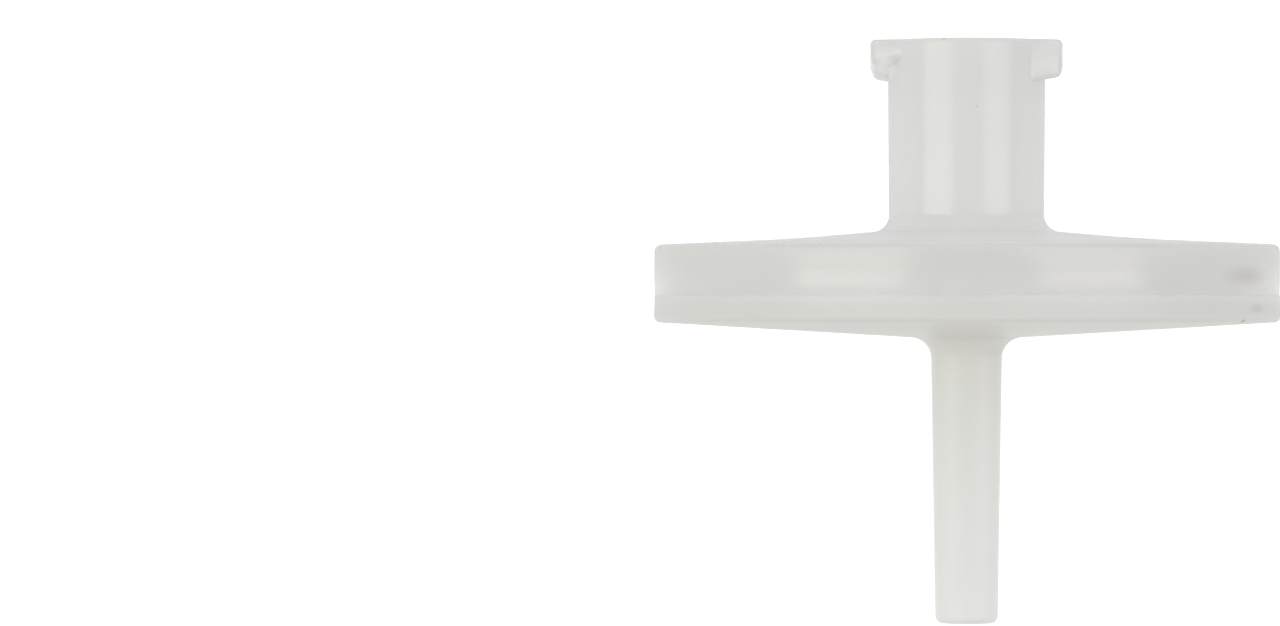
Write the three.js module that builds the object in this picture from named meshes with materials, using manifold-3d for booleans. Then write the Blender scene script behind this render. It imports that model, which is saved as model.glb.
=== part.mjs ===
// Syringe filter with a 25 mm housing: an inlet shell with a female luer lock hub, an outlet shell
// with a slip tube, and a membrane clamped between them. Both shells are natural polypropylene.
//
// Millimetres. The filter stands on the end face of its inlet hub: that face is z = 0, +Z is the
// filter's axis and points to the outlet, and the two lugs lie on the X axis.

import * as THREE from 'three';
import { mergeVertices } from 'three/addons/utils/BufferGeometryUtils.js';
import Module from 'manifold-3d';

const wasm = await Module();
wasm.setup();

// ---------------------------------------------------------------- driving dimensions

const FACETS = 40; // sides of every turned surface, a multiple of the channels
const ARC_STEP = 30; // largest turn between two points of a rounded corner, degrees
const RIB_ARC_SEGMENTS = 2; // half the straight pieces in each arc of a rib's outline
const LUG_ARC_SEGMENTS = 3; // half the straight pieces in the outer arc of a lug
const CORNER_SHARE = 0.48; // most of a profile's edge that one rounded corner may use
const OVERSIZE = 1; // how far a cutting or trimming solid stands past what it trims
const MERGE_TOLERANCE = 1e-4; // vertices closer than this are one

// Female luer hub.
const hub = {
  length: 7.69, // end face to the foot, where the shell's shoulder starts
  mouthRadius: 3.195, // outside, at the end face
  footRadius: 3.135, // outside, at the foot
  edgeRadius: 0.12,
  footFillet: 0.7,
};
const luer = {
  mouthRadius: 2.15,
  taper: 0.06, // on the diameter
  depth: 7.5,
  mouthChamfer: 0.12,
  throatRadius: 1.73, // the hole from the luer bore into the dish
};
const lug = {
  reach: 3.915, // outer radius
  hubHalfAngle: 38, // half its width where it leaves the hub, degrees
  tipHalfAngle: 20.5, // half its width at its outer radius, degrees
  height: 1.37, // at its middle
  lead: 5, // how far its underside climbs in one turn, right-handed
  edgeRadius: 0.2,
  rootDepth: 0.5, // how far it is rooted in the wall of the hub
};

// Inlet shell.
const cap = {
  shoulderRadius: 7.06, // where the steeper shoulder turns into the flatter slope
  shoulderRise: 0.34, // foot of the hub to the end of the shoulder
  shoulderBlend: 40,
  slopeRise: 0.245, // end of the shoulder to the rim
  wall: 1.07, // end of the shoulder to the roof of the dish
  dishDepth: 0.62, // roof of the dish to the clamping land
  dishDraft: 0.12, // how much wider the dish is at its mouth
};
const bead = {
  count: 2,
  inset: 0.45, // inner edge of the clamping land to the first bead
  pitch: 0.65,
  width: 0.3,
  tip: 0.16,
  grooveDepth: 0.22,
};

// Rim, shared by the two shells.
const rim = {
  radius: 12.63, // at the inlet side of the skirt
  draft: 0.02, // how much each shell's wall widens towards the outlet
  step: 0.02, // how far the flange stands outside the skirt
  edgeRadius: 0.27,
  seamEdge: 0.06, // rounding of the two edges at the seam
  seamGap: 0.04,
  skirtDepth: 2.03, // height of the inlet shell's wall at the rim
  skirtWall: 1.23, // above the lip
  lipWall: 0.46, // the skirt's lip at the seam, which reaches over a step of the outlet shell
  flangeDepth: 1.055, // height of the outlet shell's wall at the rim
  jointClearance: 0.04, // between the skirt and the stepped disc inside it
};

// Membrane and its seat.
const membrane = {
  thickness: 0.14,
  clampWidth: 0.6, // how much of its edge the clamping land holds
  weldLand: 1.6, // membrane's edge to the inside of the skirt
  edgeClearance: 0.06,
  faceClearance: 0.02,
};

// Outlet shell.
const drain = {
  depth: 0.5, // seat of the membrane to the floor between the support ribs
  coneRadius: 1.05, // mouth of the lumen in the floor
  coneDepth: 0.5,
};
const base = {
  slopeRise: 0.664, // rim to the foot of the tube
  footFillet: 0.85,
};
const tube = {
  length: 11.526, // foot to tip
  footRadius: 1.445,
  tipRadius: 1.265,
  tipEdge: 0.3,
  lumenRadius: 0.525,
  lumenChamfer: 0.08,
};

// Arc ribs on both sides of the membrane.
const rib = {
  width: 0.56,
  pitch: 1.195,
  wallGap: 0.65, // side of the dish to the outermost rib
  inletHeight: 0.42,
  inletInnerRadius: 4.3, // no rib of the inlet shell lies inside this
  channels: 8,
  channelWidth: 1.0,
  rootDepth: 0.2, // how far a rib is rooted in its shell
};

const finishes = {
  polypropylene: { color: 0xe2e3dd, roughness: 0.4, metalness: 0 },
  membrane: { color: 0xf6f6f2, roughness: 0.9, metalness: 0 },
};

// ---------------------------------------------------------------- levels and radii that follow

const kneeZ = hub.length + cap.shoulderRise;
const rimStartZ = kneeZ + cap.slopeRise;
const skirtEndZ = rimStartZ + rim.skirtDepth;
const flangeZ = skirtEndZ + rim.seamGap;
const rimEndZ = flangeZ + rim.flangeDepth;
const tubeFootZ = rimEndZ + base.slopeRise;
const tipZ = tubeFootZ + tube.length;

const roofZ = kneeZ + cap.wall;
const landZ = roofZ + cap.dishDepth;
const membraneZ = landZ + membrane.faceClearance;
const seatZ = membraneZ + membrane.thickness + membrane.faceClearance;
const floorZ = seatZ + drain.depth;
const pocketZ = seatZ - rim.jointClearance;
const stepZ = (pocketZ + skirtEndZ) / 2; // the lip starts halfway up the joint

const skirtRadius = rim.radius + rim.draft;
const flangeRadius = skirtRadius + rim.step;
const rimEndRadius = flangeRadius + rim.draft;
const jointRadius = rim.radius - rim.skirtWall;
const discRadius = jointRadius - rim.jointClearance;
const lipRadius = rim.radius - rim.lipWall;
const stepRadius = lipRadius - rim.jointClearance;
const membraneRadius = jointRadius - membrane.weldLand;
const landRadius = membraneRadius - membrane.clampWidth;
const beadRadii = Array.from({ length: bead.count }, (_, i) => landRadius - bead.inset - i * bead.pitch);
const dishRadius = beadRadii[bead.count - 1] - bead.width / 2;
const luerEndRadius = luer.mouthRadius - (luer.taper * luer.depth) / 2;

// ---------------------------------------------------------------- outlines and solids

// Rounds the corners of a closed profile. A corner is [radius from the axis, z, rounding].
function roundedProfile(corners) {
  const points = [];
  corners.forEach(([x, z, wanted = 0], i) => {
    const here = new THREE.Vector2(x, z);
    const before = new THREE.Vector2(...corners.at(i - 1).slice(0, 2)).sub(here);
    const after = new THREE.Vector2(...corners[(i + 1) % corners.length].slice(0, 2)).sub(here);
    const cosine = before.dot(after) / before.length() / after.length();
    const half = Math.acos(THREE.MathUtils.clamp(cosine, -1, 1)) / 2;
    const room = CORNER_SHARE * Math.min(before.length(), after.length());
    const reach = Math.min(wanted / Math.tan(half), room);
    if (wanted === 0 || reach === 0) {
      points.push(here);
      return;
    }
    const radius = reach * Math.tan(half);
    const centre = before.clone().normalize().add(after.clone().normalize()).normalize();
    centre.multiplyScalar(radius / Math.sin(half)).add(here);
    const start = before.clone().setLength(reach).add(here).sub(centre);
    const turn = Math.sign(start.cross(after.clone().setLength(reach).add(here).sub(centre)));
    const sweep = Math.PI - 2 * half;
    const steps = Math.max(1, Math.ceil(sweep / THREE.MathUtils.degToRad(ARC_STEP)));
    for (let k = 0; k <= steps; k += 1) {
      const offset = start.clone().rotateAround(new THREE.Vector2(), (turn * sweep * k) / steps);
      points.push(offset.add(centre));
    }
  });
  return points;
}

function merged(geometry) {
  geometry.deleteAttribute('normal');
  geometry.deleteAttribute('uv');
  return mergeVertices(geometry, MERGE_TOLERANCE);
}

// Turns a closed profile about the axis, with Z up.
function turned(corners) {
  const profile = roundedProfile(corners);
  profile.push(profile[0].clone());
  return new THREE.LatheGeometry(profile, FACETS).rotateX(Math.PI / 2);
}

function extruded(shape, fromZ, toZ, curveSegments) {
  const options = { depth: toZ - fromZ, bevelEnabled: false, curveSegments };
  return new THREE.ExtrudeGeometry(shape, options).translate(0, 0, fromZ);
}

function toSolid(geometry) {
  const closed = merged(geometry);
  return new wasm.Manifold(
    new wasm.Mesh({
      numProp: 3,
      vertProperties: new Float32Array(closed.getAttribute('position').array),
      triVerts: new Uint32Array(closed.getIndex().array),
    }),
  );
}

function toGeometry(solid) {
  const mesh = solid.getMesh();
  const geometry = new THREE.BufferGeometry();
  geometry.setAttribute('position', new THREE.BufferAttribute(new Float32Array(mesh.vertProperties), 3));
  geometry.setIndex(new THREE.BufferAttribute(new Uint32Array(mesh.triVerts), 1));
  geometry.computeVertexNormals();
  return geometry;
}

// ---------------------------------------------------------------- ribs

function ringRadii(innerRadius) {
  const radii = [];
  for (let r = dishRadius - rib.wallGap - rib.width / 2; r > innerRadius; r -= rib.pitch) {
    radii.push(r);
  }
  return radii;
}

// One arc rib with round ends, between two neighbouring radial channels.
function ribShape(radius, fromAngle, toAngle) {
  const half = rib.width / 2;
  const first = new THREE.Vector2(radius, 0).rotateAround(new THREE.Vector2(), fromAngle);
  const last = new THREE.Vector2(radius, 0).rotateAround(new THREE.Vector2(), toAngle);
  const shape = new THREE.Shape();
  shape.absarc(0, 0, radius + half, fromAngle, toAngle, false);
  shape.absarc(last.x, last.y, half, toAngle, toAngle + Math.PI, false);
  shape.absarc(0, 0, radius - half, toAngle, fromAngle, true);
  shape.absarc(first.x, first.y, half, fromAngle + Math.PI, fromAngle + 2 * Math.PI, false);
  return shape;
}

// All the arc ribs of one shell. A ring too small to leave an arc between its channels has none.
function ribSolids(innerRadius, fromZ, toZ) {
  const pitchAngle = (2 * Math.PI) / rib.channels;
  const clear = (rib.channelWidth + rib.width) / 2;
  const solids = [];
  for (const radius of ringRadii(innerRadius)) {
    const inset = Math.asin(Math.min(1, clear / radius));
    if (inset >= pitchAngle / 2) continue;
    for (let k = 0; k < rib.channels; k += 1) {
      const start = k * pitchAngle;
      const shape = ribShape(radius, start + inset, start + pitchAngle - inset);
      solids.push(toSolid(extruded(shape, fromZ, toZ, RIB_ARC_SEGMENTS)));
    }
  }
  return solids;
}

// ---------------------------------------------------------------- lugs

// A lug's plan: an outer arc with two flanks that widen to the hub.
function lugPlan() {
  const tip = THREE.MathUtils.degToRad(lug.tipHalfAngle);
  const foot = THREE.MathUtils.degToRad(lug.hubHalfAngle);
  const root = hub.footRadius - lug.rootDepth;
  const shape = new THREE.Shape();
  shape.absarc(0, 0, lug.reach, -tip, tip, false);
  shape.lineTo(hub.footRadius * Math.cos(foot), hub.footRadius * Math.sin(foot));
  shape.absarc(0, 0, root, foot, -foot, true);
  shape.lineTo(hub.footRadius * Math.cos(foot), -hub.footRadius * Math.sin(foot));
  return shape;
}

// A lug on the +X side. Its underside is part of a right-handed screw surface, and its outer edge
// at the end face is rounded.
function lugSolid() {
  const block = extruded(lugPlan(), 0, lug.height, LUG_ARC_SEGMENTS);
  const position = block.getAttribute('position');
  for (let i = 0; i < position.count; i += 1) {
    if (position.getZ(i) > lug.height / 2) {
      const turns = Math.atan2(position.getY(i), position.getX(i)) / (2 * Math.PI);
      position.setZ(i, lug.height + lug.lead * turns);
    }
  }
  const top = 2 * lug.height + OVERSIZE;
  const envelope = turned([
    [hub.footRadius - lug.rootDepth - OVERSIZE / 2, 0],
    [lug.reach, 0, lug.edgeRadius],
    [lug.reach, top],
    [hub.footRadius - lug.rootDepth - OVERSIZE / 2, top],
  ]);
  return toSolid(block).intersect(toSolid(envelope));
}

// ---------------------------------------------------------------- pieces

function beadCorners(radius) {
  const foot = bead.width / 2;
  const tip = bead.tip / 2;
  const grooveZ = landZ - bead.grooveDepth;
  return [
    [radius + foot, grooveZ],
    [radius + tip, landZ],
    [radius - tip, landZ],
    [radius - foot, grooveZ],
  ];
}

function inletShell() {
  const inner = beadRadii.flatMap(beadCorners);
  inner[inner.length - 1] = [dishRadius - cap.dishDraft, roofZ];
  return turned([
    [luer.mouthRadius + luer.mouthChamfer, 0],
    [hub.mouthRadius, 0, hub.edgeRadius],
    [hub.footRadius, hub.length, hub.footFillet],
    [cap.shoulderRadius, kneeZ, cap.shoulderBlend],
    [rim.radius, rimStartZ, rim.edgeRadius],
    [skirtRadius, skirtEndZ, rim.seamEdge],
    [lipRadius, skirtEndZ],
    [lipRadius, stepZ],
    [jointRadius, stepZ],
    [jointRadius, pocketZ],
    [membraneRadius + membrane.edgeClearance, pocketZ],
    [membraneRadius + membrane.edgeClearance, landZ],
    [landRadius, landZ],
    [landRadius - bead.tip / 2, landZ - bead.grooveDepth],
    ...inner,
    [luer.throatRadius, roofZ],
    [luer.throatRadius, luer.depth],
    [luerEndRadius, luer.depth],
    [luer.mouthRadius, luer.mouthChamfer],
  ]);
}

function inletHousing() {
  const right = lugSolid();
  const left = right.rotate([0, 0, 180]);
  const shell = toSolid(inletShell());
  const ribs = ribSolids(rib.inletInnerRadius, roofZ - rib.rootDepth, roofZ + rib.inletHeight);
  return toGeometry(wasm.Manifold.union([shell, right, left, ...ribs]));
}

function outletShell() {
  return turned([
    [dishRadius, seatZ],
    [dishRadius, floorZ],
    [drain.coneRadius, floorZ],
    [tube.lumenRadius, floorZ + drain.coneDepth],
    [tube.lumenRadius, tipZ - tube.lumenChamfer],
    [tube.lumenRadius + tube.lumenChamfer, tipZ],
    [tube.tipRadius, tipZ, tube.tipEdge],
    [tube.footRadius, tubeFootZ, base.footFillet],
    [rimEndRadius, rimEndZ, rim.edgeRadius],
    [flangeRadius, flangeZ, rim.seamEdge],
    [stepRadius, flangeZ],
    [stepRadius, stepZ + rim.jointClearance],
    [discRadius, stepZ + rim.jointClearance],
    [discRadius, seatZ],
  ].reverse());
}

function outletHousing() {
  const shell = toSolid(outletShell());
  const ribs = ribSolids(drain.coneRadius, seatZ, floorZ + rib.rootDepth);
  return toGeometry(wasm.Manifold.union([shell, ...ribs]));
}

function filterMembrane() {
  const profile = [
    new THREE.Vector2(0, membraneZ),
    new THREE.Vector2(membraneRadius, membraneZ),
    new THREE.Vector2(membraneRadius, membraneZ + membrane.thickness),
    new THREE.Vector2(0, membraneZ + membrane.thickness),
  ];
  return new THREE.LatheGeometry(profile, FACETS).rotateX(Math.PI / 2);
}

function piece(name, geometry, finish) {
  const mesh = new THREE.Mesh(geometry, new THREE.MeshStandardMaterial(finish));
  mesh.name = name;
  return mesh;
}

const filter = new THREE.Group();
filter.add(piece('inlet_housing', inletHousing(), finishes.polypropylene));
filter.add(piece('filter_membrane', filterMembrane(), finishes.membrane));
filter.add(piece('outlet_housing', outletHousing(), finishes.polypropylene));

export default filter;
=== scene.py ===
"""Looks of a syringe filter: two moulded polypropylene shells and the membrane between them.

The filter stands on the end face of its inlet hub, with its outlet tube up. The camera is level and
rolled half a turn, so the picture shows the hub at the top and the tube pointing down.
"""

import logging
import math
from dataclasses import dataclass
from enum import Enum
from typing import Callable, Iterable, Sequence

import bpy
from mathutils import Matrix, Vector


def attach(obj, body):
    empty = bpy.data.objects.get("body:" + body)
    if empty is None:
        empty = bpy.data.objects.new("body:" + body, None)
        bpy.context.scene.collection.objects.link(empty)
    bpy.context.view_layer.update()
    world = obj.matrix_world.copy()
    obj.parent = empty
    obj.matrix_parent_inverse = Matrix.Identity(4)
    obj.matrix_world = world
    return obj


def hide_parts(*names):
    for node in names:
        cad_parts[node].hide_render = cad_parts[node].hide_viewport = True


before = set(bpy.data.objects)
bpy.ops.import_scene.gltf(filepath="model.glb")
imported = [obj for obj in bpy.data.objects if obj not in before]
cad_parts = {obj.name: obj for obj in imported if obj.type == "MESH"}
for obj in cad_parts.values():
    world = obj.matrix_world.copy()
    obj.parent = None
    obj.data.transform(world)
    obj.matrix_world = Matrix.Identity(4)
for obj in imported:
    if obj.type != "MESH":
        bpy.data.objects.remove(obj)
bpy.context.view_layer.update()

MM = 0.001  # pieces are shaped in millimetres and brought to metres when they are finished
WELD = 1e-4  # vertices closer than this are one, in millimetres
TURN_STEPS = 240  # sides of a turned surface
ARC_STEP = math.radians(9)  # largest turn between two points of a rounded corner
CORNER_SHARE = 0.48  # most of a profile's edge that one rounded corner may use
SMOOTH_ANGLE = math.radians(28)  # edges that turn by more than this stay crisp in the shading
WALL_WEIGHT = 70  # how much more a wall shapes the shading at its border than a narrow edge strip
CRISP = 0.02  # roundings of the edges inside the filter, in millimetres
FINE = 0.03
SMALL = 0.05
SOFT = 0.1
WHITE = (1.0, 1.0, 1.0, 1.0)
LOG = logging.getLogger("syringe_filter")

Point = tuple[float, float, float]
Piece = bpy.types.Object
Tree = bpy.types.NodeTree
Socket = bpy.types.NodeSocket
Settings = dict[str | int, object]


class Slot(Enum):
    """The record's material slots."""

    POLYPROPYLENE = "natural_polypropylene"
    MEMBRANE = "white_membrane"


class Element(Enum):
    """Kinds of mesh element that a selection picks."""

    VERTEX = "VERT"
    EDGE = "EDGE"


class Axis(Enum):
    """Directions along which the surroundings change."""

    X = "X"
    Y = "Y"
    Z = "Z"


# ------------------------------------------------------------------------------- outlines


@dataclass(frozen=True)
class Corner:
    """One corner of a profile: distance from the axis, height, and the rounding it takes."""

    r: float
    z: float
    rounding: float = 0.0


def rounded(corners: Sequence[Corner]) -> list[Point]:
    """Rounds the corners of a closed profile in the XZ plane.

    Args:
        corners: the profile's corners in order.

    Returns:
        The profile's points, with an arc in the place of each rounded corner.
    """
    points = []
    for i, corner in enumerate(corners):
        here = Vector((corner.r, corner.z))
        before = Vector((corners[i - 1].r, corners[i - 1].z)) - here
        following = corners[(i + 1) % len(corners)]
        after = Vector((following.r, following.z)) - here
        half = before.angle(after) / 2
        room = CORNER_SHARE * min(before.length, after.length)
        reach = min(corner.rounding / math.tan(half), room)
        if reach <= WELD:
            points.append((here.x, 0.0, here.y))
            continue
        radius = reach * math.tan(half)
        centre = here + (before.normalized() + after.normalized()).normalized() * radius / math.sin(half)
        start = here + before.normalized() * reach - centre
        end = here + after.normalized() * reach - centre
        turn = math.copysign(1.0, start.x * end.y - start.y * end.x)
        sweep = math.pi - 2 * half
        steps = max(1, math.ceil(sweep / ARC_STEP))
        for k in range(steps + 1):
            angle = turn * sweep * k / steps
            x = start.x * math.cos(angle) - start.y * math.sin(angle)
            z = start.x * math.sin(angle) + start.y * math.cos(angle)
            points.append((centre.x + x, 0.0, centre.y + z))
    return points


def arc(
    radius: float, start: float, end: float, steps: int, z: float, centre: Sequence[float] = (0.0, 0.0)
) -> list[Point]:
    """Points of an arc in a level plane.

    Args:
        radius: the arc's radius.
        start: its first angle, in radians.
        end: its last angle.
        steps: how many straight pieces it has.
        z: the plane's height.
        centre: the arc's centre in the plane.

    Returns:
        steps + 1 points from start to end.
    """
    angles = [start + (end - start) * k / steps for k in range(steps + 1)]
    return [(centre[0] + radius * math.cos(a), centre[1] + radius * math.sin(a), z) for a in angles]


# ------------------------------------------------------------------------------- modelling


def pick(*pieces: Piece) -> None:
    """Selects these pieces alone, and makes the first of them the active one.

    Args:
        pieces: the pieces, in object mode.
    """
    bpy.ops.object.select_all(action="DESELECT")
    for piece in pieces:
        piece.select_set(True)
    bpy.context.view_layer.objects.active = pieces[0]


def close_edit() -> None:
    """Goes back to object mode."""
    bpy.ops.object.mode_set(mode="OBJECT")


def select_where(piece: Piece, kind: Element, test: Callable[..., bool]) -> None:
    """Selects the vertices or the edges of a piece that pass a test.

    Args:
        piece: the piece that is open in edit mode.
        kind: which of the two.
        test: gets the place of a vertex, or of an edge's two ends, and says whether it is selected.
    """
    bpy.ops.mesh.select_mode(type=kind.value)
    bpy.ops.mesh.select_all(action="DESELECT")
    close_edit()
    places = [vertex.co for vertex in piece.data.vertices]
    if kind is Element.VERTEX:
        for vertex in piece.data.vertices:
            vertex.select = test(vertex.co)
    else:
        for edge in piece.data.edges:
            edge.select = test(*(places[i] for i in edge.vertices))
    bpy.ops.object.mode_set(mode="EDIT")


def draw_outline(name: str, points: Sequence[Point]) -> Piece:
    """Draws a closed outline by extruding one vertex from point to point.

    Args:
        name: the new piece's name.
        points: the outline's points, in millimetres.

    Returns:
        The piece, open in edit mode with all of the outline selected.
    """
    bpy.ops.object.select_all(action="DESELECT")
    bpy.ops.mesh.primitive_plane_add(size=WELD, location=points[0], enter_editmode=True)
    piece = bpy.context.object
    piece.name = piece.data.name = name
    bpy.ops.mesh.select_mode(type="VERT")
    bpy.ops.mesh.merge(type="CENTER")
    for here, there in zip(points, points[1:]):
        step = Vector(there) - Vector(here)
        bpy.ops.mesh.extrude_vertices_move(TRANSFORM_OT_translate={"value": step})
    close_edit()
    last = len(points) - 1
    for vertex in piece.data.vertices:
        vertex.select = vertex.index in (0, last)
    bpy.ops.object.transform_apply(location=True, rotation=False, scale=False)
    bpy.ops.object.mode_set(mode="EDIT")
    bpy.ops.mesh.edge_face_add()
    bpy.ops.mesh.select_all(action="SELECT")
    return piece


def heal() -> None:
    """Merges the doubles of the piece that is open in edit mode, and turns its faces outwards."""
    bpy.ops.mesh.select_mode(type="VERT")
    bpy.ops.mesh.select_all(action="SELECT")
    bpy.ops.mesh.remove_doubles(threshold=WELD)
    bpy.ops.mesh.normals_make_consistent(inside=False)


def turned(name: str, corners: Sequence[Corner]) -> Piece:
    """Turns a closed profile all the way round the Z axis.

    Args:
        name: the new piece's name.
        corners: the profile's corners.

    Returns:
        The closed piece, in object mode.
    """
    piece = draw_outline(name, rounded(corners))
    bpy.ops.mesh.spin(steps=TURN_STEPS, angle=2 * math.pi, center=(0, 0, 0), axis=(0, 0, 1))
    heal()
    close_edit()
    return piece


def raised(name: str, points: Sequence[Point], height: float) -> Piece:
    """Fills a level outline and raises it to a block.

    Args:
        name: the new piece's name.
        points: the outline's points.
        height: how far it is raised.

    Returns:
        The closed block, open in edit mode.
    """
    piece = draw_outline(name, points)
    bpy.ops.mesh.edge_face_add()
    bpy.ops.mesh.extrude_region_move(TRANSFORM_OT_translate={"value": (0, 0, height)})
    heal()
    return piece


def copy_round(piece: Piece, angles: Iterable[float]) -> list[Piece]:
    """Copies a piece round the Z axis, each copy with its own mesh.

    Args:
        piece: the piece to copy, in object mode.
        angles: the turn of each copy, in radians.

    Returns:
        The copies.
    """
    copies = []
    for angle in angles:
        pick(piece)
        bpy.ops.object.duplicate(linked=False)
        other = bpy.context.object
        other.rotation_euler = (0, 0, angle)
        bpy.ops.object.transform_apply(location=False, rotation=True, scale=False)
        copies.append(other)
    return copies


def joined(pieces: Sequence[Piece]) -> Piece:
    """Joins pieces that don't touch into one object.

    Args:
        pieces: the pieces, in object mode.

    Returns:
        The first of them, which holds them all.
    """
    pick(*pieces)
    bpy.ops.object.join()
    return pieces[0]


def fused(piece: Piece, other: Piece) -> None:
    """Fuses another piece into a piece, as one moulding, and removes the other.

    Args:
        piece: the piece that stays.
        other: the piece that is rooted in it.
    """
    pick(piece)
    union = piece.modifiers.new("Fuse", "BOOLEAN")
    union.operation = "UNION"
    union.solver = "EXACT"
    union.object = other
    bpy.ops.object.modifier_apply(modifier=union.name)
    bpy.data.objects.remove(other, do_unlink=True)


def finished(piece: Piece) -> Piece:
    """Brings a piece from millimetres to metres, with its object at the origin, and smooths it.

    Args:
        piece: the piece, in object mode.

    Returns:
        The same piece.
    """
    pick(piece)
    bpy.ops.object.mode_set(mode="EDIT")
    heal()
    close_edit()
    piece.scale = (MM, MM, MM)
    bpy.ops.object.transform_apply(location=True, rotation=True, scale=True)
    bpy.ops.object.shade_smooth_by_angle(angle=SMOOTH_ANGLE)
    flatter = piece.modifiers.new("Flat walls", "WEIGHTED_NORMAL")
    flatter.keep_sharp = True
    flatter.weight = WALL_WEIGHT
    bpy.ops.object.modifier_apply(modifier=flatter.name)
    piece.data.materials.clear()
    return piece


# ------------------------------------------------------------------------------- finishes


def linear(hex_colour: str) -> tuple[float, float, float, float]:
    """Turns an sRGB hex colour into the linear colour that a shader takes.

    Args:
        hex_colour: the colour, such as #e4e5df.

    Returns:
        Red, green, blue and alpha.
    """
    channels = [int(hex_colour[i : i + 2], 16) / 255 for i in (1, 3, 5)]
    red, green, blue = (c / 12.92 if c <= 0.04045 else ((c + 0.055) / 1.055) ** 2.4 for c in channels)
    return red, green, blue, 1.0


def node(tree: Tree, kind: str, settings: Settings | None = None, **links: Socket) -> bpy.types.Node:
    """Adds a node with its settings and links.

    Args:
        tree: the node tree.
        kind: the node's type.
        settings: attributes by name, and unlinked sockets by their shown name or number.
        links: the socket that feeds each input, by the input's name with underscores for spaces.

    Returns:
        The new node.
    """
    made = tree.nodes.new(kind)
    for key, value in (settings or {}).items():
        if isinstance(key, int) or key in made.inputs:
            made.inputs[key].default_value = value
        else:
            setattr(made, key, value)
    for key, source in links.items():
        wanted = int(key[1:]) if key[1:].isdigit() else key.replace("_", " ")
        tree.links.new(source, made.inputs[wanted])
    return made


def fresh_material(name: str) -> tuple[bpy.types.Material, Tree]:
    """Makes a material with an empty node tree.

    Args:
        name: the material's name.

    Returns:
        The material and its tree.
    """
    material = bpy.data.materials.new(name)
    material.use_nodes = True
    material.node_tree.nodes.clear()
    return material, material.node_tree


@dataclass(frozen=True)
class Tone:
    """Colour at one height of the filter: the plastic's tone, with painted light and shade in it."""

    z: float
    colour: str


@dataclass(frozen=True)
class Satin:
    """Roughness that the mould gave the plastic at one height of the filter."""

    z: float
    roughness: float


def over_height(tree: Tree, height: Socket, stops: dict[float, Sequence[float]]) -> Socket:
    """Adds a colour, or a grey that stands for a number, that changes over the height.

    Args:
        tree: the material's node tree.
        height: the height above the inlet end, in metres.
        stops: the colour at each height in millimetres, from the lowest up.

    Returns:
        The colour.
    """
    bottom, top = min(stops), max(stops)
    share = node(tree, "ShaderNodeMapRange", {"From Min": bottom * MM, "From Max": top * MM}, Value=height)
    ramp = node(tree, "ShaderNodeValToRGB", Fac=share.outputs["Result"])
    elements = ramp.color_ramp.elements
    for _ in range(len(stops) - 2):
        elements.new(0.5)
    for element, (z, colour) in zip(elements, stops.items()):
        element.position = (z - bottom) / (top - bottom)
        element.color = colour
    return ramp.outputs["Color"]


@dataclass(frozen=True)
class Mark:
    """Small soft-edged mark on the surface: its centre and its size, in millimetres."""

    centre: Point
    reach: Point
    edge: float = 0.5  # share of the mark that fades out

    def mask(self, tree: Tree, at: Socket) -> Socket:
        """Adds the mask of the mark.

        Args:
            tree: the material's node tree.
            at: the point on the piece.

        Returns:
            The mask, 1 inside and 0 outside.
        """
        centre = {"operation": "SUBTRACT", 1: Vector(self.centre) * MM}
        centred = node(tree, "ShaderNodeVectorMath", centre, _0=at)
        reach = {"operation": "DIVIDE", 1: Vector(self.reach) * MM}
        scaled = node(tree, "ShaderNodeVectorMath", reach, _0=centred.outputs["Vector"])
        far = node(tree, "ShaderNodeVectorMath", {"operation": "LENGTH"}, _0=scaled.outputs["Vector"])
        fade = {"interpolation_type": "SMOOTHSTEP", "From Min": 1.0, "From Max": 1.0 - self.edge}
        return node(tree, "ShaderNodeMapRange", fade, Value=far.outputs["Value"]).outputs["Result"]


@dataclass(frozen=True)
class Tint:
    """Marks of one colour."""

    colour: str
    marks: tuple[Mark, ...]


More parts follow.
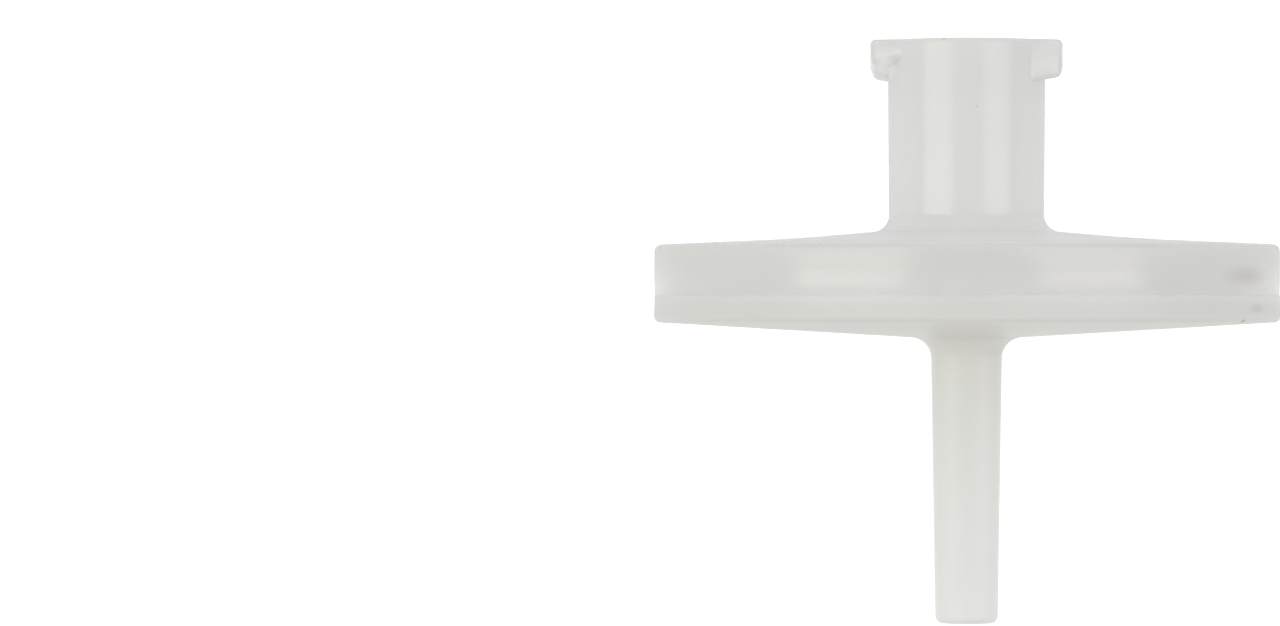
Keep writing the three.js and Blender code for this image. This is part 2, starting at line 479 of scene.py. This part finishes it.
@dataclass(frozen=True)
class MouldedPolypropylene:
    """Natural polypropylene, injection moulded in a satin steel mould.

    It is milky: light goes a millimetre or two into it before it turns, so the shells look soft and
    deep, and their edges don't go dark. The tones over the height are painted light and shade for how
    thick the plastic is: greyer at the rim, lighter along the thin hub and tube, painted light at the
    knee and at the seam, and a little warmer along the tube. The lugs carry painted shade, and one
    lug's end painted shade and painted light. The mould leaves a faint mottle and, running round the
    axis, its turning marks.
    """

    name: str = "Moulded natural polypropylene"
    # painted light and shade over the height: greyer at the thick rim, lighter along the thin hub and tube
    tones_with_painted_light: tuple[Tone, ...] = (
        Tone(0.0, "#ebebe9"),
        Tone(7.4, "#f0f0ee"),
        # painted light on the knee between the hub and the rim
        Tone(8.1, "#ffffff"),
        Tone(8.35, "#e6e6e3"),
        Tone(8.9, "#e5e5e2"),
        Tone(9.5, "#e9e9e6"),
        Tone(9.9, "#ebebe9"),
        Tone(10.15, "#ececea"),
        # painted light that lifts the shade at the seam
        Tone(10.3, "#f5f5f4"),
        Tone(10.45, "#f1f1f0"),
        Tone(10.7, "#e8e8e5"),
        Tone(11.1, "#e7e7e3"),
        Tone(11.4, "#efeee8"),
        Tone(12.1, "#f5f4ed"),
        Tone(15.0, "#fafaf4"),
        Tone(19.0, "#fdfdf9"),
        Tone(23.6, "#fdfdfa"),
    )
    # painted shade: the lugs are painted a little darker than the hub
    lug_shade_colour: str = "#e8e8e6"
    lug_start: float = 3.1  # between these two distances from the axis the lugs' painted shade sets in
    lug_end: float = 3.6
    lug_top: float = 2.6  # height at which it has gone
    lug_fade: float = 0.2
    tints_and_painted_light: tuple[Tint, ...] = (
        # painted shade on the face of one lug's thin end, and painted light that lifts the shade in the fold
        # under it
        Tint("#e5e5e3", (Mark((3.6, -1.6, 0.3), (1.1, 0.9, 0.9)),)),
        Tint("#fbfbfa", (Mark((3.27, -0.9, 1.1), (0.52, 1.6, 0.6), 0.6),)),
        # a faint tan stain on the rim's inlet edge, and a brown fleck on its outlet edge
        Tint(
            "#cdbfa2",
            (
                Mark((-7.06, -4.54, 8.1), (1.3, 0.9, 0.8), 0.9),
                Mark((-10.87, -6.2, 11.35), (0.22, 0.22, 0.11), 0.6),
            ),
        ),
        # darker grey patches at one end of the rim's wall
        Tint(
            "#dad8d6",
            (
                Mark((-11.05, -6.05, 9.55), (2.0, 3.0, 0.6), 0.95),
                Mark((-11.5, -5.27, 10.85), (0.7, 1.3, 0.3), 1.0),
            ),
        ),
        # dust on the edge of the hub's end face and on its wall
        Tint(
            "#a9a59a",
            (
                Mark((0.95, -3.1, 0.0), (0.14, 0.14, 0.1)),
                Mark((-0.42, -3.13, 2.75), (0.035, 0.1, 0.045), 1.0),
            ),
        ),
    )
    depth_mm: float = 1.5  # mean way of the light between two turns
    milk_share: float = 0.4  # how much of the light turns about inside the plastic
    clear_share: float = 0.08  # how much of the light goes through with its picture kept
    satin: tuple[Satin, ...] = (  # the hub and the middle of the rim's wall are glossier
        Satin(0.0, 0.20),
        Satin(7.58, 0.20),
        Satin(7.66, 0.33),
        Satin(8.26, 0.33),
        Satin(8.34, 0.22),
        Satin(9.2, 0.22),
        Satin(9.5, 0.18),
        Satin(9.9, 0.18),
        Satin(10.1, 0.22),
        Satin(10.31, 0.22),
        Satin(10.34, 0.33),
        Satin(10.65, 0.33),
        Satin(10.9, 0.42),
        Satin(11.6, 0.42),
        Satin(12.3, 0.32),
        Satin(23.6, 0.32),
    )
    roughness_spread: float = 0.06  # how much the mottle changes the roughness
    ior: float = 1.49
    depth_by_colour: Point = (1.0, 0.98, 0.92)  # red light goes deepest
    grain_mm: float = 0.3  # mottle of the mould's satin surface
    grain_depth: float = 0.1
    grain_relief_mm: float = 0.05
    streak_mm: float = 0.06  # turning marks that run round the mould, coarse enough to show
    streak_length: float = 40.0
    streak_depth: float = 0.05
    streak_relief_mm: float = 0.02

    def lug_shade_mask(self, tree: Tree, at: Socket, height: Socket) -> Socket:
        """Adds the mask of the lugs' painted shade.

        Args:
            tree: the material's node tree.
            at: the point on the piece.
            height: the point's height.

        Returns:
            The mask, which rises from the hub's wall to 1 on the lugs, and is 0 above them.
        """
        level = node(tree, "ShaderNodeVectorMath", {"operation": "MULTIPLY", 1: (1, 1, 0)}, _0=at)
        away = node(tree, "ShaderNodeVectorMath", {"operation": "LENGTH"}, _0=level.outputs["Vector"])
        reach = {"From Min": self.lug_start * MM, "From Max": self.lug_end * MM}
        outside = node(tree, "ShaderNodeMapRange", reach, Value=away.outputs["Value"])
        end = {"From Min": self.lug_top * MM, "From Max": (self.lug_top - self.lug_fade) * MM}
        below = node(tree, "ShaderNodeMapRange", end, Value=height)
        both = {"_0": outside.outputs["Result"], "_1": below.outputs["Result"]}
        return node(tree, "ShaderNodeMath", {"operation": "MULTIPLY"}, **both).outputs["Value"]

    def colour(self, tree: Tree, at: Socket, height: Socket) -> Socket:
        """Adds the colour: the tones by height, then the lugs' painted shade and the marks on top.

        Args:
            tree: the material's node tree.
            at: the point on the piece.
            height: the point's height.

        Returns:
            The colour.
        """
        colour = over_height(tree, height, {tone.z: linear(tone.colour) for tone in self.tones_with_painted_light})
        layers = [(self.lug_shade_mask(tree, at, height), self.lug_shade_colour)]
        for tint in self.tints_and_painted_light:
            layers += [(mark.mask(tree, at), tint.colour) for mark in tint.marks]
        for mask, laid_on in layers:
            over = {"data_type": "RGBA", 7: linear(laid_on)}
            colour = node(tree, "ShaderNodeMix", over, _0=mask, _6=colour).outputs[2]
        return colour

    def relief(self, tree: Tree, at: Socket, grain: Socket) -> Socket:
        """Adds the relief: the mould's turning marks, with the mottle on top.

        Args:
            tree: the material's node tree.
            at: the point on the piece.
            grain: the mottle.

        Returns:
            The normal.
        """
        along = {"Scale": (1 / self.streak_length, 1 / self.streak_length, 1)}
        drawn = node(tree, "ShaderNodeMapping", along, Vector=at).outputs["Vector"]
        fine = {"Scale": 1 / (self.streak_mm * MM), "Detail": 1.0}
        streaks = node(tree, "ShaderNodeTexNoise", fine, Vector=drawn).outputs["Fac"]
        shallow = {"Strength": self.streak_depth, "Distance": self.streak_relief_mm * MM}
        streaked = node(tree, "ShaderNodeBump", shallow, Height=streaks).outputs["Normal"]
        deeper = {"Strength": self.grain_depth, "Distance": self.grain_relief_mm * MM}
        return node(tree, "ShaderNodeBump", deeper, Height=grain, Normal=streaked).outputs["Normal"]

    def material(self) -> bpy.types.Material:
        """Builds the material.

        Returns:
            The material.
        """
        material, tree = fresh_material(self.name)
        at = node(tree, "ShaderNodeTexCoord").outputs["Object"]
        height = node(tree, "ShaderNodeSeparateXYZ", Vector=at).outputs["Z"]
        mottle = {"Scale": 1 / (self.grain_mm * MM), "Detail": 2.0}
        grain = node(tree, "ShaderNodeTexNoise", mottle, Vector=at).outputs["Fac"]
        satin = over_height(tree, height, {stop.z: (stop.roughness,) * 3 + (1.0,) for stop in self.satin})
        spread = {"operation": "MULTIPLY_ADD", 1: self.roughness_spread}
        gloss = node(tree, "ShaderNodeMath", spread, _0=grain, _2=satin)
        back = node(tree, "ShaderNodeNewGeometry").outputs["Backfacing"]
        clear = node(tree, "ShaderNodeMapRange", {"To Min": self.clear_share, "To Max": 1.0}, Value=back)
        shader = node(
            tree,
            "ShaderNodeBsdfPrincipled",
            {
                "IOR": self.ior,
                "Subsurface Weight": self.milk_share,
                "Subsurface Scale": self.depth_mm * MM,
                "Subsurface Radius": self.depth_by_colour,
            },
            Base_Color=self.colour(tree, at, height),
            Roughness=gloss.outputs["Value"],
            Normal=self.relief(tree, at, grain),
            Transmission_Weight=clear.outputs["Result"],
        )
        node(tree, "ShaderNodeOutputMaterial", Surface=shader.outputs["BSDF"])
        return material


@dataclass(frozen=True)
class CastMembrane:
    """Membrane cast from a polymer: matt white, like a dense paper, and hidden between the shells."""

    name: str = "Cast white membrane"
    colour: str = "#f3f2ec"
    roughness: float = 0.85
    pore_mm: float = 0.05  # coarser than the real pores, which are too fine to show
    pore_depth: float = 0.2
    pore_relief_mm: float = 0.02

    def material(self) -> bpy.types.Material:
        """Builds the material.

        Returns:
            The material.
        """
        material, tree = fresh_material(self.name)
        at = node(tree, "ShaderNodeTexCoord").outputs["Object"]
        fine = {"Scale": 1 / (self.pore_mm * MM), "Detail": 1.0}
        pores = node(tree, "ShaderNodeTexNoise", fine, Vector=at).outputs["Fac"]
        shallow = {"Strength": self.pore_depth, "Distance": self.pore_relief_mm * MM}
        bump = node(tree, "ShaderNodeBump", shallow, Height=pores).outputs["Normal"]
        plain = {"Base Color": linear(self.colour), "Roughness": self.roughness}
        shader = node(tree, "ShaderNodeBsdfPrincipled", plain, Normal=bump)
        node(tree, "ShaderNodeOutputMaterial", Surface=shader.outputs["BSDF"])
        return material


# ------------------------------------------------------------------------------- the filter


@dataclass
class SharedSizes:
    """Sizes that the two shells and the membrane share, in millimetres."""

    knee_z: float = 8.03
    rim_start_z: float = 8.275
    seam_z: float = 10.325
    rim_end_z: float = 11.40
    tube_foot_z: float = 12.064
    tip_z: float = 23.59
    roof_z: float = 9.10
    land_z: float = 9.72
    membrane_z: float = 9.74
    membrane_thickness: float = 0.14
    seat_z: float = 9.90
    floor_z: float = 10.40
    membrane_radius: float = 9.80
    pocket_clearance: float = 0.06  # round the membrane
    bead_radii: tuple[float, ...] = (8.75, 8.10)
    dish_radius: float = 7.95
    land_radius: float = 9.20
    joint_radius: float = 11.40
    lip_radius: float = 12.17
    step_z: float = 10.08
    weld: float = 0.006  # how deep the two shells are fused into each other
    rim_blend: float = 20.0  # rounding of the rim's shallow hollows and swells
    rim_edge: float = 0.27
    rim_radius: float = 12.635
    rim_end_radius: float = 12.685
    skirt_swell: tuple[tuple[float, float], ...] = (
        (12.648, 8.95),
        (12.650, 9.35),
        (12.647, 9.75),
        (12.641, 10.02),
    )
    skirt_seam_radius: float = 12.622
    flange_seam_radius: float = 12.640
    flange_swell: tuple[tuple[float, float], ...] = ((12.651, 10.85), (12.646, 10.65), (12.644, 10.45))


@dataclass
class RibPattern:
    """Arc ribs with round ends, in rings between eight radial channels."""

    shared: SharedSizes
    width: float = 0.56
    pitch: float = 1.195
    wall_gap: float = 0.65
    channels: int = 8
    channel_width: float = 1.0
    root_depth: float = 0.2
    crest_rounding: float = 0.14
    crest_segments: int = 3
    arc_step: float = math.radians(2)
    end_steps: int = 10

    def radii(self, inner: float) -> list[float]:
        """Works out the rings' radii.

        Args:
            inner: the radius that they all exceed.

        Returns:
            The radii, from the outside in.
        """
        outer = self.shared.dish_radius - self.wall_gap - self.width / 2
        count = int((outer - inner) / self.pitch) + 1
        return [outer - k * self.pitch for k in range(count) if outer - k * self.pitch > inner]

    def ring(self, name: str, radius: float, from_z: float, to_z: float, crest_z: float) -> list[Piece]:
        """Models one rib and copies it round its ring.

        Args:
            name: the ribs' name.
            radius: the ring's radius.
            from_z: the lower end of the ribs.
            to_z: their upper end.
            crest_z: the end of the two that is the rounded crest.

        Returns:
            The ribs, or none if the ring is too small for an arc between two channels.
        """
        pitch_angle = 2 * math.pi / self.channels
        inset = math.asin(min(1.0, (self.channel_width + self.width) / 2 / radius))
        if inset >= pitch_angle / 2:
            return []
        start, end, half = inset, pitch_angle - inset, self.width / 2
        steps = max(2, round((end - start) / self.arc_step))
        last = Vector((radius * math.cos(end), radius * math.sin(end)))
        first = Vector((radius * math.cos(start), radius * math.sin(start)))
        outline = arc(radius + half, start, end, steps, from_z)
        outline += arc(half, end, end + math.pi, self.end_steps, from_z, last)[1:-1]
        outline += arc(radius - half, end, start, steps, from_z)
        outline += arc(half, start + math.pi, start + 2 * math.pi, self.end_steps, from_z, first)[1:-1]
        rib = raised(name, outline, to_z - from_z)
        select_where(rib, Element.EDGE, lambda a, b: max(abs(a.z - crest_z), abs(b.z - crest_z)) < WELD)
        bpy.ops.mesh.bevel(
            offset=self.crest_rounding, segments=self.crest_segments, affect="EDGES", clamp_overlap=False
        )
        close_edit()
        return [rib] + copy_round(rib, [k * pitch_angle for k in range(1, self.channels)])

    def build(self, name: str, inner: float, from_z: float, to_z: float, crest_z: float) -> Piece:
        """Models all the ribs of one shell.

        Args:
            name: the ribs' name.
            inner: the radius that all rings exceed.
            from_z: the lower end of the ribs.
            to_z: their upper end.
            crest_z: the end of the two that is the rounded crest.

        Returns:
            The ribs as one object.
        """
        ribs = []
        for radius in self.radii(inner):
            ribs += self.ring(name, radius, from_z, to_z, crest_z)
        return joined(ribs)


@dataclass
class InletHousing:
    """Inlet shell with its female luer lock hub, two lugs, sealing beads and arc ribs."""

    shared: SharedSizes
    ribs: RibPattern
    hub_length: float = 7.69
    hub_mouth_radius: float = 3.195
    hub_foot_radius: float = 3.135
    hub_edge: float = 0.12
    foot_fillet: float = 0.7
    luer_mouth_radius: float = 2.15
    luer_end_radius: float = 1.925
    luer_depth: float = 7.5
    mouth_chamfer: float = 0.12
    throat_radius: float = 1.73
    shoulder_radius: float = 7.06
    shoulder_blend: float = 40.0
    dish_draft: float = 0.12
    bead_width: float = 0.3
    bead_tip: float = 0.16
    groove_depth: float = 0.22
    rib_height: float = 0.42
    rib_inner_radius: float = 4.3
    lug_reach: float = 3.915
    lug_bow: float = 0.11  # how far the lug's outer face bows out in its middle
    lug_face_radius: float = 7.0
    lug_half_width: float = 1.36
    lug_corner: float = 0.3
    lug_foot_angle: float = math.radians(37)
    lug_flank_steps: int = 4  # straight pieces of a flank, and of the root on either side of its middle
    lug_height: float = 1.31
    lug_lead: float = 5.0
    lug_under_edge: float = 0.26
    lug_end_edge: float = 0.14
    lug_edge_segments: int = 6
    lug_root: float = 2.35  # where the lug is rooted in the hub's wall
    angle_digits: int = 3  # of the angles that tell the columns of the lug's wall apart

    def beads(self) -> list[Corner]:
        """Draws the sealing beads, from the outer one's foot to the edge of the dish.

        Returns:
            Their corners.
        """
        s = self.shared
        groove_z = s.land_z - self.groove_depth
        foot, tip = self.bead_width / 2, self.bead_tip / 2
        beads = []
        for radius in s.bead_radii:
            beads += [
                Corner(radius + foot, groove_z, FINE),
                Corner(radius + tip, s.land_z, SMALL),
                Corner(radius - tip, s.land_z, SMALL),
                Corner(radius - foot, groove_z, FINE),
            ]
        beads[-1] = Corner(s.dish_radius - self.dish_draft, s.roof_z, SOFT)  # the inner one ends at the dish
        return beads

    def shell(self) -> Piece:
        """Turns the shell, from the end face of the hub to the seam.

        Returns:
            The shell without lugs and ribs.
        """
        s = self.shared
        groove_z = s.land_z - self.groove_depth
        pocket = s.membrane_radius + s.pocket_clearance
        pocket_z = s.seat_z + s.weld
        step_z = s.step_z + s.weld
        seam_z = s.seam_z + s.weld
        return turned(
            "inlet_housing_skin",
            [
                Corner(self.luer_mouth_radius + self.mouth_chamfer, 0, FINE),
                Corner(self.hub_mouth_radius, 0, self.hub_edge),
                Corner(self.hub_foot_radius, self.hub_length, self.foot_fillet),
                Corner(self.shoulder_radius, s.knee_z, self.shoulder_blend),
                Corner(s.rim_radius, s.rim_start_z, s.rim_edge),
                *(Corner(r, z, s.rim_blend) for r, z in s.skirt_swell),
                Corner(s.skirt_seam_radius, seam_z),
                Corner(s.lip_radius, seam_z),
                Corner(s.lip_radius, step_z),
                Corner(s.joint_radius, step_z),
                Corner(s.joint_radius, pocket_z),
                Corner(pocket, pocket_z),
                Corner(pocket, s.land_z),
                Corner(s.land_radius, s.land_z, SMALL),
                Corner(s.land_radius - self.bead_tip / 2, groove_z, FINE),
                *self.beads(),
                Corner(self.throat_radius, s.roof_z, SOFT),
                Corner(self.throat_radius, self.luer_depth, SMALL),
                Corner(self.luer_end_radius, self.luer_depth, SMALL),
                Corner(self.luer_mouth_radius, self.mouth_chamfer, FINE),
            ],
        )

    def lug_outline(self) -> list[Point]:
        """Draws the plan of the lug on the +X side.

        Returns:
            The outline's points, at the height of the end face.
        """
        steps = self.lug_flank_steps
        foot = Vector((math.cos(self.lug_foot_angle), math.sin(self.lug_foot_angle))) * self.hub_foot_radius
        tip = Vector((self.lug_reach - self.lug_bow, self.lug_half_width))
        flank = [foot.lerp(tip, k / steps) for k in range(steps)]
        corners = [Corner(self.lug_root, foot.y * k / steps) for k in range(steps, -steps - 1, -1)]
        corners += [Corner(p.x, -p.y) for p in flank]
        corners += [Corner(tip.x, -tip.y, self.lug_corner), Corner(self.lug_reach, 0, self.lug_face_radius)]
        corners += [Corner(tip.x, tip.y, self.lug_corner)]
        corners += [Corner(p.x, p.y) for p in reversed(flank)]
        return [(x, y, 0.0) for x, _, y in rounded(corners)]

    def column(self, x: float, y: float) -> float:
        """The angle that names the column of the lug's wall at this place."""
        return round(math.atan2(y, x), self.angle_digits)

    def lug(self) -> Piece:
        """Models the lug on the +X side, with its underside on a right-handed screw surface.

        Returns:
            The closed lug, in object mode.
        """
        outline = self.lug_outline()
        piece = raised("lug", outline, self.lug_height)
        for angle in sorted({self.column(x, y) for x, y, _ in outline}):

            def stands_here(place: Vector, at: float = angle) -> bool:
                """Whether a vertex is the upper one of this column."""
                return place.z > self.lug_height / 2 and self.column(place.x, place.y) == at

            select_where(piece, Element.VERTEX, stands_here)
            rise = self.lug_lead * angle / (2 * math.pi)
            bpy.ops.transform.translate(value=(0, 0, rise))
        for under, rounding in ((True, self.lug_under_edge), (False, self.lug_end_edge)):

            def is_outer_edge(a: Vector, b: Vector, under: bool = under) -> bool:
                """Whether an edge runs round the lug outside the hub, on its underside or its end face."""
                outer = min(math.hypot(a.x, a.y), math.hypot(b.x, b.y)) > self.hub_foot_radius - WELD
                return outer and (a.z > WELD) == (b.z > WELD) == under

            select_where(piece, Element.EDGE, is_outer_edge)
            bpy.ops.mesh.bevel(
                offset=rounding, segments=self.lug_edge_segments, affect="EDGES", clamp_overlap=False
            )
        heal()
        bpy.ops.mesh.quads_convert_to_tris(quad_method="BEAUTY", ngon_method="BEAUTY")
        close_edit()
        return piece

    def build(self) -> Piece:
        """Builds the whole shell.

        Returns:
            The shell as one moulding.
        """
        shell = self.shell()
        lug = self.lug()
        fused(shell, joined([lug] + copy_round(lug, [math.pi])))
        root = self.shared.roof_z - self.ribs.root_depth
        crest = self.shared.roof_z + self.rib_height
        fused(shell, self.ribs.build("inlet_ribs", self.rib_inner_radius, root, crest, crest))
        return finished(shell)


@dataclass
class OutletHousing:
    """Outlet shell with its rim flange, membrane seat, support ribs and slip tube."""

    shared: SharedSizes
    ribs: RibPattern
    cone_radius: float = 1.05
    cone_depth: float = 0.5
    foot_fillet: float = 0.85
    tube_foot_radius: float = 1.445
    tube_tip_radius: float = 1.265
    tip_edge: float = 0.3
    lumen_radius: float = 0.525
    lumen_chamfer: float = 0.08

    def shell(self) -> Piece:
        """Turns the shell, from the seam to the tip of the tube.

        Returns:
            The shell without ribs.
        """
        s = self.shared
        disc_radius = s.joint_radius + s.weld
        lip_radius = s.lip_radius + s.weld
        step_z = s.step_z - s.weld
        seam_z = s.seam_z - s.weld
        return turned(
            "outlet_housing_skin",
            [
                Corner(s.dish_radius, s.seat_z, SMALL),
                Corner(s.dish_radius, s.floor_z, SOFT),
                Corner(self.cone_radius, s.floor_z, SMALL),
                Corner(self.lumen_radius, s.floor_z + self.cone_depth, SMALL),
                Corner(self.lumen_radius, s.tip_z - self.lumen_chamfer, CRISP),
                Corner(self.lumen_radius + self.lumen_chamfer, s.tip_z, CRISP),
                Corner(self.tube_tip_radius, s.tip_z, self.tip_edge),
                Corner(self.tube_foot_radius, s.tube_foot_z, self.foot_fillet),
                Corner(s.rim_end_radius, s.rim_end_z, s.rim_edge),
                *(Corner(r, z, s.rim_blend) for r, z in s.flange_swell),
                Corner(s.flange_seam_radius, seam_z),
                Corner(lip_radius, seam_z),
                Corner(lip_radius, step_z),
                Corner(disc_radius, step_z),
                Corner(disc_radius, s.seat_z),
            ],
        )

    def build(self) -> Piece:
        """Builds the whole shell.

        Returns:
            The shell as one moulding.
        """
        shell = self.shell()
        crest = self.shared.seat_z
        root = self.shared.floor_z + self.ribs.root_depth
        fused(shell, self.ribs.build("outlet_ribs", self.cone_radius, crest, root, crest))
        return finished(shell)


@dataclass
class FilterMembrane:
    """Membrane disc, pressed in a little where the sealing beads bite."""

    shared: SharedSizes
    bite: float = 0.03
    bite_width: float = 0.3

    def build(self) -> Piece:
        """Turns the disc.

        Returns:
            The membrane.
        """
        s = self.shared
        low, high = s.membrane_z, s.membrane_z + s.membrane_thickness
        under = [Corner(s.membrane_radius, low, FINE)]
        for radius in s.bead_radii:
            under += [
                Corner(radius + self.bite_width / 2, low, CRISP),
                Corner(radius, low + self.bite, SOFT),
                Corner(radius - self.bite_width / 2, low, CRISP),
            ]
        upper = [Corner(0, high), Corner(s.membrane_radius, high, FINE)]
        return finished(turned("filter_membrane_skin", [*upper, *under, Corner(0, low)]))


# ------------------------------------------------------------------------------- the studio


@dataclass(frozen=True)
class SoftBox:
    """One soft box that faces the filter, in metres, degrees and watts."""

    name: str
    azimuth: float  # from the camera's side, positive towards the picture's right
    size: tuple[float, float]
    power: float
    colour: str
    distance: float = 0.6
    height: float = 0.017


@dataclass(frozen=True)
class Fade:
    """Change of the surroundings' brightness between two places on an axis that runs from -1 to 1."""

    axis: Axis
    start: float
    end: float
    low: float  # brightness up to the start
    high: float  # brightness from the end on


@dataclass
class Studio:
    """White floor, soft boxes, surroundings that are brighter behind the filter, and the camera."""

    camera_distance: float = 275 * MM
    camera_height: float = 11.03 * MM
    camera_turn: float = math.radians(2.757)
    camera_clip: tuple[float, float] = (0.01, 20.0)
    lens: float = 190.7
    floor_size: float = 6.0
    floor_shown: tuple[float, float] = (0.8, 0.62)  # grey and glow of the floor that the camera sees
    floor_felt: tuple[float, float] = (0.2, 0.63)  # grey and glow of the floor that lights the filter
    fades: tuple[Fade, ...] = (
        Fade(Axis.Y, 0.2, 0.95, 0.68, 1.05),  # dim in front of the filter and bright behind it
        Fade(Axis.Z, 0.0, 0.9, 1.0, 0.9),  # a little dimmer overhead
        Fade(Axis.X, -1.0, -0.85, 0.72, 1.0),  # dim patch at the right, which darkens a band of the hub
    )
    surroundings_shown: float = 1.2
    boxes: tuple[SoftBox, ...] = (
        SoftBox("soft box left", -43, (0.47, 0.03), 0.38, "#fffff6"),
        SoftBox("soft box right", 46, (0.44, 0.03), 0.31, "#fffaff"),
    )
    bounces: int = 32  # light has to get through both shells
    diffuse_bounces: int = 16
    glossy_bounces: int = 4

    def floor(self) -> None:
        """Lays the floor: white card, lit up to white for the camera, and softer for the filter."""
        bpy.ops.object.select_all(action="DESELECT")
        bpy.ops.mesh.primitive_plane_add(size=self.floor_size, location=(0, 0, 0))
        floor = bpy.context.object
        floor.name = "floor"
        material, tree = fresh_material("White card floor")
        sides = []
        for shade, glow in (self.floor_felt, self.floor_shown):
            card = node(tree, "ShaderNodeBsdfDiffuse", {"Color": (shade, shade, shade, 1)})
            light = node(tree, "ShaderNodeEmission", {"Strength": glow})
            sides.append(node(tree, "ShaderNodeAddShader", _0=card.outputs[0], _1=light.outputs[0]))
        ray = node(tree, "ShaderNodeLightPath").outputs["Is Camera Ray"]
        both = node(tree, "ShaderNodeMixShader", _0=ray, _1=sides[0].outputs[0], _2=sides[1].outputs[0])
        node(tree, "ShaderNodeOutputMaterial", Surface=both.outputs[0])
        floor.data.materials.append(material)

    def surroundings(self) -> None:
        """Sets the surroundings: soft light for the filter, and plain white for the camera."""
        world = bpy.data.worlds.new("Pale surroundings")
        world.use_nodes = True
        tree = world.node_tree
        tree.nodes.clear()
        at = node(tree, "ShaderNodeTexCoord").outputs["Generated"]
        axes = node(tree, "ShaderNodeSeparateXYZ", Vector=at)
        strength = None
        for fade in self.fades:
            settings = {
                "interpolation_type": "SMOOTHSTEP",
                "From Min": fade.start,
                "From Max": fade.end,
                "To Min": fade.low,
                "To Max": fade.high,
            }
            level = node(tree, "ShaderNodeMapRange", settings, Value=axes.outputs[fade.axis.value])
            share = level.outputs["Result"]
            if strength:
                product = node(tree, "ShaderNodeMath", {"operation": "MULTIPLY"}, _0=strength, _1=share)
                share = product.outputs["Value"]
            strength = share
        lit = node(tree, "ShaderNodeBackground", {"Color": WHITE}, Strength=strength)
        shown = node(tree, "ShaderNodeBackground", {"Color": WHITE, "Strength": self.surroundings_shown})
        ray = node(tree, "ShaderNodeLightPath").outputs["Is Camera Ray"]
        mixed = node(tree, "ShaderNodeMixShader", _0=ray, _1=lit.outputs[0], _2=shown.outputs[0])
        node(tree, "ShaderNodeOutputWorld", Surface=mixed.outputs[0])
        bpy.context.scene.world = world

    def hang(self, box: SoftBox) -> None:
        """Hangs one soft box so that it faces the filter.

        Args:
            box: the soft box.
        """
        light = bpy.data.lights.new(box.name, "AREA")
        light.shape = "RECTANGLE"
        light.size, light.size_y = box.size
        light.energy = box.power
        light.color = linear(box.colour)[:3]
        lamp = bpy.data.objects.new(box.name, light)
        angle = math.radians(box.azimuth)
        lamp.location = (-box.distance * math.sin(angle), -box.distance * math.cos(angle), box.height)
        aim = Vector((0, 0, self.camera_height)) - lamp.location
        lamp.rotation_euler = aim.to_track_quat("-Z", "Y").to_euler()
        bpy.context.scene.collection.objects.link(lamp)

    def camera(self) -> None:
        """Sets the level camera, rolled half a turn."""
        data = bpy.data.cameras.new("camera")
        data.lens = self.lens
        data.clip_start, data.clip_end = self.camera_clip
        camera = bpy.data.objects.new("camera", data)
        camera.location = (0, -self.camera_distance, self.camera_height)
        camera.rotation_euler = (math.pi / 2, math.pi, -self.camera_turn)
        bpy.context.scene.collection.objects.link(camera)
        bpy.context.scene.camera = camera

    def build(self) -> None:
        """Builds the studio."""
        self.floor()
        self.surroundings()
        for box in self.boxes:
            self.hang(box)
        self.camera()
        view = bpy.context.scene.view_settings
        view.view_transform = "Standard"
        view.look = "None"
        cycles = bpy.context.scene.cycles
        cycles.max_bounces = cycles.transmission_bounces = self.bounces
        cycles.diffuse_bounces = self.diffuse_bounces
        cycles.glossy_bounces = self.glossy_bounces


# ------------------------------------------------------------------------------- assembly


def dress(piece: Piece, node_name: str, material: bpy.types.Material) -> None:
    """Dresses a finished piece and puts it in the place of its CAD node.

    Args:
        piece: the finished piece.
        node_name: the CAD node that it stands for.
        material: its finish.
    """
    piece.data.materials.append(material)
    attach(piece, "root")
    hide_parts(node_name)
    LOG.info("%s: %d faces", piece.name, len(piece.data.polygons))


def main() -> None:
    """Builds the filter and its studio."""
    logging.basicConfig(level=logging.INFO, format="%(name)s %(message)s")
    shared = SharedSizes()
    ribs = RibPattern(shared)
    polypropylene = MouldedPolypropylene().material()
    membrane = CastMembrane().material()
    dress(InletHousing(shared, ribs).build(), "inlet_housing", polypropylene)
    dress(OutletHousing(shared, ribs).build(), "outlet_housing", polypropylene)
    dress(FilterMembrane(shared).build(), "filter_membrane", membrane)
    Studio().build()
    LOG.info("studio ready")


if __name__ == "__main__":
    main()
